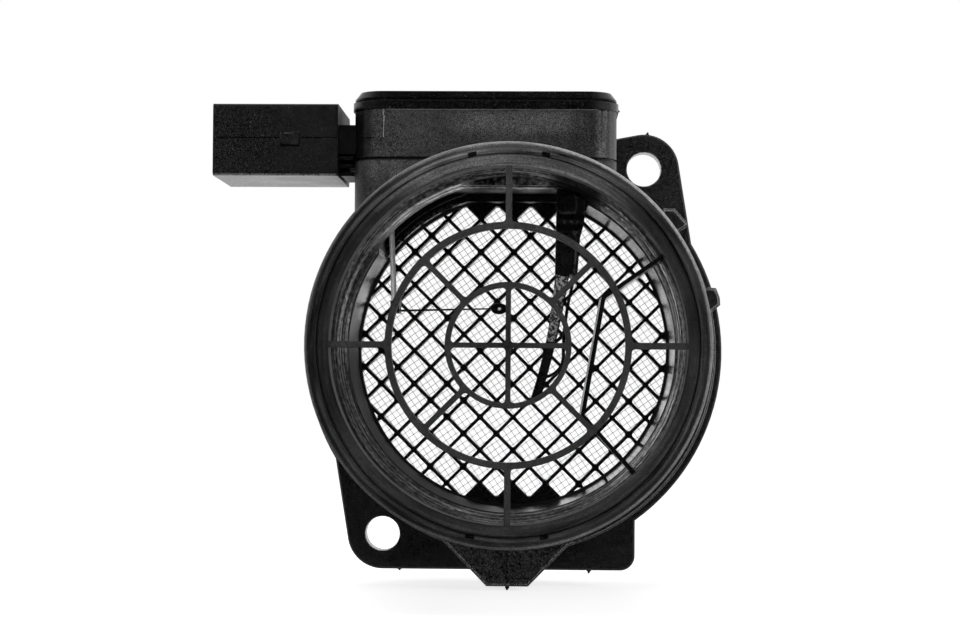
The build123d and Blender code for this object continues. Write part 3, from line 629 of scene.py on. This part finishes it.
def drawn_bar(points, radius):
    """A thin square bar extruded from point to point, closed at both ends."""
    along = (points[1] - points[0]).normalized()
    deselect()
    bpy.ops.mesh.primitive_circle_add(vertices=4, radius=radius, fill_type="NGON", location=points[0],
                                      rotation=along.to_track_quat("Z", "Y").to_euler())
    bar = bpy.context.object
    apply_place(bar)
    edit(bar, "SELECT")
    for start, end in zip(points, points[1:]):
        extrude(end - start)
    bpy.ops.mesh.select_mode(type="EDGE")
    bpy.ops.mesh.select_all(action="DESELECT")
    bpy.ops.mesh.select_non_manifold()
    bpy.ops.mesh.edge_face_add()
    bpy.ops.mesh.select_all(action="SELECT")
    bpy.ops.mesh.normals_make_consistent(inside=False)
    bpy.ops.object.mode_set(mode="OBJECT")
    return bar


def jagged(start, end, count, sway, seed):
    """Points from start to end that stray a little to the sides, as flash along a mould's joint does."""
    draw = Random(seed)
    sideways = (end - start).cross(Vector((0, 1, 0))).normalized()
    points = [start]
    for step in range(1, count):
        points.append(start.lerp(end, step / count) + sideways * draw.uniform(-sway, sway))
    return points + [end]


def turned_copy(obj, matrix):
    """A copy with a mesh of its own, moved or turned in that mesh."""
    twin = obj.copy()
    twin.data = obj.data.copy()
    bpy.context.scene.collection.objects.link(twin)
    twin.data.transform(matrix)
    return twin


def finish_named(name):
    found = bpy.data.materials.get(name)
    if found is None:
        raise RuntimeError(f"make the finishes first: {name} is missing")
    return found


def settle(obj, finish):
    """Gives a finished piece its finish and its body."""
    obj.data.materials.clear()
    obj.data.materials.append(finish_named(finish))
    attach(obj, "root")


# ---- Operators

class SENSOR_OT_finishes(bpy.types.Operator):
    """Makes every finish and gives the solids theirs"""
    bl_idname = "sensor.finishes"
    bl_label = "Finishes"

    # Solids whose finish differs from that of their slot
    BY_NODE = {
        "inlet_tube": "DuctMoulding", "rear_flange": "FlangeMoulding",
        "electronics_housing": "HousingMoulding", "housing_cover": "CoverMoulding",
        "flow_partition": "PartitionMoulding",
        "thermistor_prong_front": "TinnedProng", "thermistor_prong_rear": "TinnedProng",
    }
    BY_SLOT = {
        "guard_moulding": "GuardMoulding", "lattice_moulding": "LatticeMoulding",
        "arm_moulding": "ArmMoulding", "seal_rubber": "SealRubber", "screen_wire": "ScreenWire",
        "steel_wire": "SteelWire", "tinned_contact": "TinnedContact", "film_ceramic": "FilmCeramic",
        "potting": "Potting", "board": "BoardLaminate", "chip_epoxy": "ChipEpoxy",
        "capacitor_body": "CapacitorBody", "bead_epoxy": "BeadEpoxy",
    }

    def make_finishes(self, look):
        moulded_plastic("DuctMoulding", look.duct_colour, duct_zones)
        moulded_plastic("FlangeMoulding", look.flange_colour, flange_zones)
        moulded_plastic("HousingMoulding", look.housing_colour, housing_zones)
        moulded_plastic("CoverMoulding", look.cover_colour, cover_zones, grain=0.4, ior=1.3)
        moulded_plastic("GuardMoulding", look.guard_colour, guard_zones)
        moulded_plastic("ArmMoulding", look.arm_colour, arm_zones)
        # Pale grey: a painted highlight for the light the flash's ridges catch
        plain_plastic("FlashPaintedHighlight", (0.22, 0.22, 0.22), 0.5)
        plain_plastic("LatticeMoulding", look.lattice_colour, 0.45)
        plain_plastic("PartitionMoulding", look.lattice_colour, 0.2)
        plain_plastic("SealRubber", look.rubber_colour, 0.7)
        plain_plastic("FilmCeramic", look.film_colour, 0.5)
        plain_plastic("ChipEpoxy", look.arm_colour, 0.6)
        plain_plastic("CapacitorBody", (0.45, 0.33, 0.2), 0.5)
        dimpled_epoxy_with_highlight("BeadEpoxy", look.arm_colour, BEAD_DIMPLE_AND_HIGHLIGHT, BEAD_DIMPLE_AND_HIGHLIGHT_RADIUS)
        speckled_potting("Potting", look.potting_colour)
        board_laminate("BoardLaminate")
        bright_metal("ScreenWire", look.wire_colour, 0.4)
        bright_metal("SteelWire", look.wire_colour, 0.22)
        bright_metal("TinnedProng", look.prong_colour, 0.3, metallic=0.1)
        bright_metal("TinnedContact", look.wire_colour, 0.3)

    def execute(self, context):
        self.make_finishes(context.scene.sensor_finishes)
        for row in frame["record"]["subparts"]:
            solid = NODES[row["node"]]
            finish = finish_named(self.BY_NODE.get(row["node"]) or self.BY_SLOT[row["material_slot"]])
            if not solid.data.materials:
                solid.data.materials.append(finish)
            for place in range(len(solid.material_slots)):
                solid.material_slots[place].material = finish
        return {"FINISHED"}


class SENSOR_OT_woven_screen(bpy.types.Operator):
    """Weaves the fine wire screen that stands for the screen's coarse solid"""
    bl_idname = "sensor.woven_screen"
    bl_label = "Woven screen"

    def longest_wire(self, screen, count):
        """A square tube extruded from crossing to crossing, up over one wire and down under the next."""
        pitch = screen.pitch
        # A little over half the wire, so that wires clear each other where they cross
        rise = screen.wire * 0.55
        deselect()
        bpy.ops.mesh.primitive_circle_add(vertices=4, radius=screen.wire / 2, rotation=(0, pi / 2, 0))
        wire = bpy.context.object
        bpy.ops.object.transform_apply(location=False, rotation=True)
        bpy.ops.object.mode_set(mode="EDIT")
        bpy.ops.mesh.select_all(action="SELECT")
        bpy.ops.transform.translate(value=(-(count + 0.5) * pitch, 0, 0))
        for step in range(-count, count + 1):
            up = rise if step % 2 else -rise
            extrude((pitch / 2, up, 0))
            extrude((pitch / 2, -up, 0))
        bpy.ops.object.mode_set(mode="OBJECT")
        return wire

    def trimmed(self, wire, chord, over):
        """A copy of the wire, over or under at its middle, cut off and closed at both ends of its chord."""
        twin = turned_copy(wire, Matrix.Rotation(0 if over else pi, 4, "X"))
        edit(twin)
        for end in (1, -1):
            bpy.ops.mesh.select_all(action="SELECT")
            bpy.ops.mesh.bisect(plane_co=(end * chord, 0, 0), plane_no=(end, 0, 0), use_fill=True,
                                clear_outer=True, threshold=0.0)
        bpy.ops.mesh.select_all(action="SELECT")
        bpy.ops.mesh.normals_make_consistent(inside=False)
        bpy.ops.object.mode_set(mode="OBJECT")
        return twin

    def weave(self, screen, middle_y):
        count = int(screen.reach / screen.pitch)
        wire = self.longest_wire(screen, count)
        wires = []
        for turn, odd_over in ((screen.turn, True), (screen.turn + pi / 2, False)):
            for row in range(-count, count + 1):
                across = row * screen.pitch
                chord = sqrt(max(screen.reach ** 2 - across ** 2, 0))
                if chord < 2 * screen.pitch:
                    continue
                twin = self.trimmed(wire, chord, over=bool(row % 2) == odd_over)
                place = Matrix.Translation((0, middle_y, 0)) @ Matrix.Rotation(-turn, 4, "Y")
                twin.data.transform(place @ Matrix.Translation((0, 0, across)))
                wires.append(twin)
        bpy.data.objects.remove(wire)
        return join(wires, "screen_weave")

    def rim(self, low, high, middle_y):
        """The flat rim that clamps the weave."""
        width = 1.7 * MM
        deselect()
        bpy.ops.mesh.primitive_cylinder_add(vertices=128, radius=high.x, depth=high.y - low.y,
                                            location=(0, middle_y, 0), rotation=(pi / 2, 0, 0))
        rim = bpy.context.object
        apply_place(rim)
        pick_faces(rim, lambda face: abs(face.normal.y) > 0.5)
        bpy.ops.mesh.inset(thickness=width)
        bpy.ops.mesh.bridge_edge_loops()
        bpy.ops.object.mode_set(mode="OBJECT")
        rim.name = rim.data.name = "screen_rim"
        return rim

    def execute(self, context):
        low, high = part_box("wire_screen")
        middle_y = (low.y + high.y) / 2
        settle(self.weave(context.scene.sensor_screen, middle_y), "ScreenWire")
        rim = self.rim(low, high, middle_y)
        settle(rim, "ScreenWire")
        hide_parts("wire_screen")
        return {"FINISHED"}


class SENSOR_OT_lattice_knots(bpy.types.Operator):
    """Fills the corners where the lattice's bars cross with small moulded knots"""
    bl_idname = "sensor.lattice_knots"
    bl_label = "Lattice knots"

    def knot(self, radius, low, high):
        """An eight-sided knot, a little lower than the bars, with a rim round both its ends."""
        deselect()
        bpy.ops.mesh.primitive_cylinder_add(vertices=8, radius=radius, depth=high.y - low.y - 0.1 * MM,
                                            location=(0, (low.y + high.y) / 2, 0), rotation=(pi / 2, 0, 0))
        knot = bpy.context.object
        apply_place(knot)
        pick_faces(knot, lambda face: abs(face.normal.y) > 0.5)
        bpy.ops.mesh.inset(thickness=0.16 * MM, depth=0.04 * MM, use_individual=True)
        bpy.ops.object.mode_set(mode="OBJECT")
        return knot

    def execute(self, context):
        lattice = context.scene.sensor_lattice
        low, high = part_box("rear_lattice")
        knot = self.knot(lattice.knot, low, high)
        draw = Random(5)
        half = lattice.pitch / sqrt(2)
        reach, flat = high.x - 1.2 * MM, high.z - 1.5 * MM
        count = int(2 * reach / half)
        knots = []
        for across in range(-count, count + 1):
            for up in range(-count, count + 1):
                x, z = across * half + lattice.shift[0], up * half + lattice.shift[1]
                if (across + up) % 2 or sqrt(x * x + z * z) > reach or abs(z) > flat:
                    continue
                size = draw.uniform(0.85, 1.15)
                knots.append(turned_copy(knot, Matrix.Translation((x, 0, z)) @ Matrix.Rotation(pi / 8, 4, "Y")
                                         @ Matrix.Diagonal((size, 1, size, 1))))
        bpy.data.objects.remove(knot)
        settle(join(knots, "lattice_knots"), "LatticeMoulding")
        return {"FINISHED"}


class SENSOR_OT_mould_lines(bpy.types.Operator):
    """Draws the thin ridges of flash where the moulds met"""
    bl_idname = "sensor.mould_lines"
    bl_label = "Mould lines"

    def flash(self, name, finish, rows):
        """One piece of flash: each row has two ends, the number of steps, the sway, a seed and the radius."""
        bars = [drawn_bar(jagged(mm(*start), mm(*end), count, sway * MM, seed), radius * MM)
                for start, end, count, sway, seed, radius in rows]
        settle(join(bars, name), finish)

    def execute(self, context):
        # In millimetres: the mouth of the connector, the fronts of its shroud and of the box, the level where
        # the moulds met, and the upright line near the box's left corner
        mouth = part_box("electronics_housing")[0].x / MM + 0.6
        shroud, box = -46.5, -47.0
        middle = 41.4
        corner = -25.3
        self.flash("housing_mould_lines", "CoverMoulding", (
            ((mouth, shroud, middle), (-45.6, shroud, middle), 12, 0.03, 1, 0.09),
            ((-41.5, shroud, middle), (-34.6, shroud, middle), 8, 0.03, 2, 0.09),
            ((-29.5, box + 0.7, middle), (corner, box, middle), 6, 0.04, 3, 0.10),
        ))
        # This flash is painted pale as a highlight on its ridges
        self.flash("housing_flash", "FlashPaintedHighlight", (
            ((corner, box, middle + 3.2), (corner, box, middle + 5.7), 12, 0.12, 4, 0.13),
            ((corner, box, middle), (corner, box, middle + 3.2), 6, 0.05, 6, 0.07),
            ((corner + 0.5, box, middle + 5.62), (16.9, box, middle + 5.62), 30, 0.05, 7, 0.06),
        ))
        # On the tab: down the middle and across near its end
        tab = -14.0
        self.flash("tab_mould_lines", "CoverMoulding", (
            ((-0.92, tab, -41.4), (-0.9, tab, -49.2), 10, 0.05, 8, 0.10),
            ((-0.7, tab, -48.2), (3.6, tab, -48.1), 6, 0.03, 9, 0.09),
        ))
        return {"FINISHED"}


class SENSOR_OT_gate_marks(bpy.types.Operator):
    """Leaves the broken stubs where the plastic was let into the moulds"""
    bl_idname = "sensor.gate_marks"
    bl_label = "Gate marks"

    def stub(self, place, way, radius, height):
        """A short stub that narrows and ends in a torn tip."""
        way = Vector(way).normalized()
        tip = place + way * height
        shoulder, neck, taper, lean = radius * 0.3, height * 0.45, 0.6, 0.35
        deselect()
        bpy.ops.mesh.primitive_cylinder_add(vertices=9, radius=radius, depth=height, location=place,
                                            rotation=way.to_track_quat("Z", "Y").to_euler())
        stub = bpy.context.object
        apply_place(stub)
        pick_faces(stub, lambda face: face.normal.dot(way) > 0.9)
        bpy.ops.mesh.inset(thickness=shoulder)
        extrude(way * neck)
        bpy.ops.transform.resize(value=(taper, taper, taper), center_override=tip)
        bpy.ops.transform.rotate(value=lean, orient_axis="Y", center_override=tip)
        bpy.ops.object.mode_set(mode="OBJECT")
        return stub

    def stubs(self, name, rows, finish="CoverMoulding", slot="black_moulding"):
        """One piece of stubs: each row has a place, a direction, a radius and a height."""
        made = [self.stub(mm(*place), way, radius * MM, height * MM) for place, way, radius, height in rows]
        settle(join(made, name), finish)

    def execute(self, context):
        plate, plate_edge = -2.5, 46.95
        self.stubs("flange_gate_stubs", (
            ((28.8, plate, plate_edge), (0.1, 0, 1), 0.45, 0.9),
            ((-24.4, plate, -plate_edge), (0, 0, -1), 0.5, 0.7),
            ((16.6, plate, -plate_edge), (0, 0, -1), 0.5, 1.0),
        ))
        self.stubs("tab_gate_stub", (((-0.9, -12.6, -50.0), (0, 0, -1), 0.45, 0.8),))
        self.stubs("rim_gate_stub", (((21.05, -40.0, 47.6), (1, 0, 0), 0.4, 0.5),))
        self.stubs("guard_gate_stub", (((0, -70.95, 0), (0, -1, 0), 0.42, 0.5),), "GuardMoulding",
                   "guard_moulding")
        return {"FINISHED"}


class SENSOR_OT_ejector_marks(bpy.types.Operator):
    """Presses the round marks of the ejector pins into the cover"""
    bl_idname = "sensor.ejector_marks"
    bl_label = "Ejector marks"

    def mark(self):
        """A flat disc with a sunken ring."""
        deselect()
        bpy.ops.mesh.primitive_cylinder_add(vertices=28, radius=0.62 * MM, depth=0.16 * MM)
        mark = bpy.context.object
        apply_place(mark)
        pick_faces(mark, lambda face: face.normal.z > 0.9)
        bpy.ops.mesh.inset(thickness=0.14 * MM)
        extrude(mm(0, 0, -0.05))
        bpy.ops.mesh.inset(thickness=0.16 * MM)
        bpy.ops.object.mode_set(mode="OBJECT")
        return mark

    def execute(self, context):
        low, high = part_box("housing_cover")
        mark = self.mark()
        marks = []
        # Two small ones on the front bevel
        lean = Vector((0, -1.4, 1.1)).to_track_quat("Z", "Y").to_matrix().to_4x4()
        for x, size in ((2.4, 1.0), (13.1, 0.5)):
            place = Matrix.Translation((x * MM, low.y + 0.55 * MM, high.z - 0.7 * MM))
            marks.append(turned_copy(mark, place @ lean @ Matrix.Diagonal((size, size, 1, 1))))
        # Four large ones near the corners of the top
        large = 2.6
        for x in (0.18, 0.82):
            for y in (0.2, 0.8):
                place = Matrix.Translation((low.x + (high.x - low.x) * x, low.y + (high.y - low.y) * y,
                                            high.z - 0.04 * MM))
                marks.append(turned_copy(mark, place @ Matrix.Diagonal((large, large, 1, 1))))
        bpy.data.objects.remove(mark)
        settle(join(marks, "cover_ejector_marks"), "CoverMoulding")
        return {"FINISHED"}


class SENSOR_OT_studio(bpy.types.Operator):
    """Sets the floor, the lamps and the pale background"""
    bl_idname = "sensor.studio"
    bl_label = "Studio"

    def lamp(self, name, power, size, place, target):
        data = bpy.data.lights.new(name, "AREA")
        data.energy = power
        data.shape = "RECTANGLE"
        data.size, data.size_y = size
        lamp = bpy.data.objects.new(name, data)
        bpy.context.scene.collection.objects.link(lamp)
        lamp.visible_glossy = False
        lamp.location = place
        lamp.rotation_euler = (Vector(target) - Vector(place)).to_track_quat("-Z", "Y").to_euler()

    def world(self, scene):
        """White to the camera, grey to diffuse light, and a studio with pale walls to gloss."""
        world = bpy.data.worlds.new("StudioWorld")
        world.use_nodes = True
        scene.world = world
        s = Shader(world.node_tree)
        way = s.node("ShaderNodeTexCoord", output="Generated")
        side, ahead, up = (axis * 0.5 + 0.5 for axis in s.split(way))
        behind = s.ramped(ahead, (0.50, 0.0), (0.60, 1.0))
        right = s.ramped(side, (0.60, 0.0), (0.95, 0.55))
        left = s.ramped(side, (0.05, 0.16), (0.40, 0.0))
        below = s.ramped(up, (0.05, 0.5), (0.40, 0.0))
        studio = (behind + right + left + below + 0.02).clamped()
        soft = s.mix((s.ray("Glossy") + s.ray("Transmission")).clamped(), grey(0.25), studio)
        seen = s.mix(s.ray("Camera"), soft, grey(1.0))
        background = s.node("ShaderNodeBackground", None, {"Color": seen, "Strength": 1.0})
        s.node("ShaderNodeOutputWorld", None, {"Surface": background})

    def floor(self, level):
        deselect()
        bpy.ops.mesh.primitive_plane_add(size=6.0, location=(0, 1.0, level))
        floor = bpy.context.object
        apply_place(floor)
        floor.name = "studio_floor"
        made, s = material("StudioFloor")
        x, y, z = s.split(s.place())
        # To the camera the floor fades to white away from the sensor and its shadow
        pale = s.node("ShaderNodeBsdfDiffuse", None, {"Color": grey(0.75)})
        near, far = 400.0, 1500.0
        near_glow, far_glow = 0.73, 0.87
        away = s.step((x * x + y * y) ** 0.5, near, far)
        strength = s.ray("Camera") * (away * (far_glow - near_glow) + near_glow)
        glow = s.node("ShaderNodeEmission", None, {"Color": grey(1.0), "Strength": strength})
        seen = s.node("ShaderNodeAddShader", None, {0: pale, 1: glow})
        # To gloss it is pale behind the sensor and dark ahead of it, as the studio is
        depth = y * 0.002 + 0.5
        mirrored = s.node("ShaderNodeEmission", None,
                          {"Color": s.ramped(depth, (0.45, 0.02), (0.55, 1.0)), "Strength": 1.0})
        both = s.node("ShaderNodeMixShader", None, {0: s.ray("Glossy"), 1: seen, 2: mirrored})
        s.node("ShaderNodeOutputMaterial", None, {"Surface": both})
        floor.data.materials.append(made)

    def execute(self, context):
        scene = context.scene
        studio = scene.sensor_studio
        gap = 0.9 * MM
        self.floor(CAD_BOX[0][2] - gap)
        self.world(scene)
        middle = (0, -0.04, 0)
        self.lamp("softbox_overhead", studio.key_power, (0.5, 0.4), (-0.05, -0.12, 0.55), (0, -0.03, 0))
        self.lamp("softbox_right", studio.side_power, (0.3, 0.4), (0.5, -0.25, 0.15), middle)
        self.lamp("softbox_front", studio.front_power, (0.4, 0.4), (-0.1, -1.0, 0.12), middle)
        self.lamp("fill_left", studio.fill_power, (0.3, 0.4), (-0.5, -0.35, 0.1), middle)
        scene.view_settings.view_transform = "Standard"
        return {"FINISHED"}


class SENSOR_OT_camera(bpy.types.Operator):
    """Places the camera in front of the duct's mouth"""
    bl_idname = "sensor.camera"
    bl_label = "Camera"

    def execute(self, context):
        studio = context.scene.sensor_studio
        data = bpy.data.cameras.new("SensorCamera")
        data.lens = studio.lens
        data.sensor_width = 36.0
        data.dof.use_dof = False
        camera = bpy.data.objects.new("SensorCamera", data)
        context.scene.collection.objects.link(camera)
        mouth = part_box("inlet_tube")[0].y
        right, below = 6.95 * MM, 7.78 * MM
        place = Vector((right, mouth - studio.camera_distance, -below))
        pan, tilt, roll = (radians(angle) for angle in (1.743, 91.778, 0.38))
        aim = Matrix.Rotation(pan, 4, "Z") @ Matrix.Rotation(tilt, 4, "X") @ Matrix.Rotation(roll, 4, "Z")
        camera.matrix_world = Matrix.Translation(place) @ aim
        context.scene.camera = camera
        return {"FINISHED"}


class SENSOR_PT_panel(bpy.types.Panel):
    """Shows the sensor's operators and settings"""
    bl_idname = "SENSOR_PT_panel"
    bl_label = "Mass Airflow Sensor"
    bl_space_type = "VIEW_3D"
    bl_region_type = "UI"
    bl_category = "Sensor"

    def draw(self, context):
        layout = self.layout
        for operator in OPERATORS:
            layout.operator(operator.bl_idname)
        scene = context.scene
        for group in (scene.sensor_finishes, scene.sensor_screen, scene.sensor_lattice, scene.sensor_studio):
            box = layout.box()
            for name in group.bl_rna.properties.keys():
                if name not in ("rna_type", "name"):
                    box.prop(group, name)


OPERATORS = (SENSOR_OT_finishes, SENSOR_OT_woven_screen, SENSOR_OT_lattice_knots, SENSOR_OT_mould_lines,
             SENSOR_OT_gate_marks, SENSOR_OT_ejector_marks, SENSOR_OT_studio, SENSOR_OT_camera)
GROUPS = (SensorFinishes, SensorScreen, SensorLattice, SensorStudio)


def register():
    for item in GROUPS + OPERATORS + (SENSOR_PT_panel,):
        bpy.utils.register_class(item)
    bpy.types.Scene.sensor_finishes = PointerProperty(type=SensorFinishes)
    bpy.types.Scene.sensor_screen = PointerProperty(type=SensorScreen)
    bpy.types.Scene.sensor_lattice = PointerProperty(type=SensorLattice)
    bpy.types.Scene.sensor_studio = PointerProperty(type=SensorStudio)


def unregister():
    del bpy.types.Scene.sensor_studio
    del bpy.types.Scene.sensor_lattice
    del bpy.types.Scene.sensor_screen
    del bpy.types.Scene.sensor_finishes
    for item in reversed(GROUPS + OPERATORS + (SENSOR_PT_panel,)):
        bpy.utils.unregister_class(item)


def main():
    register()
    bpy.ops.sensor.finishes()
    bpy.ops.sensor.woven_screen()
    bpy.ops.sensor.lattice_knots()
    bpy.ops.sensor.mould_lines()
    bpy.ops.sensor.gate_marks()
    bpy.ops.sensor.ejector_marks()
    bpy.ops.sensor.studio()
    bpy.ops.sensor.camera()


if __name__ == "__main__":
    main()
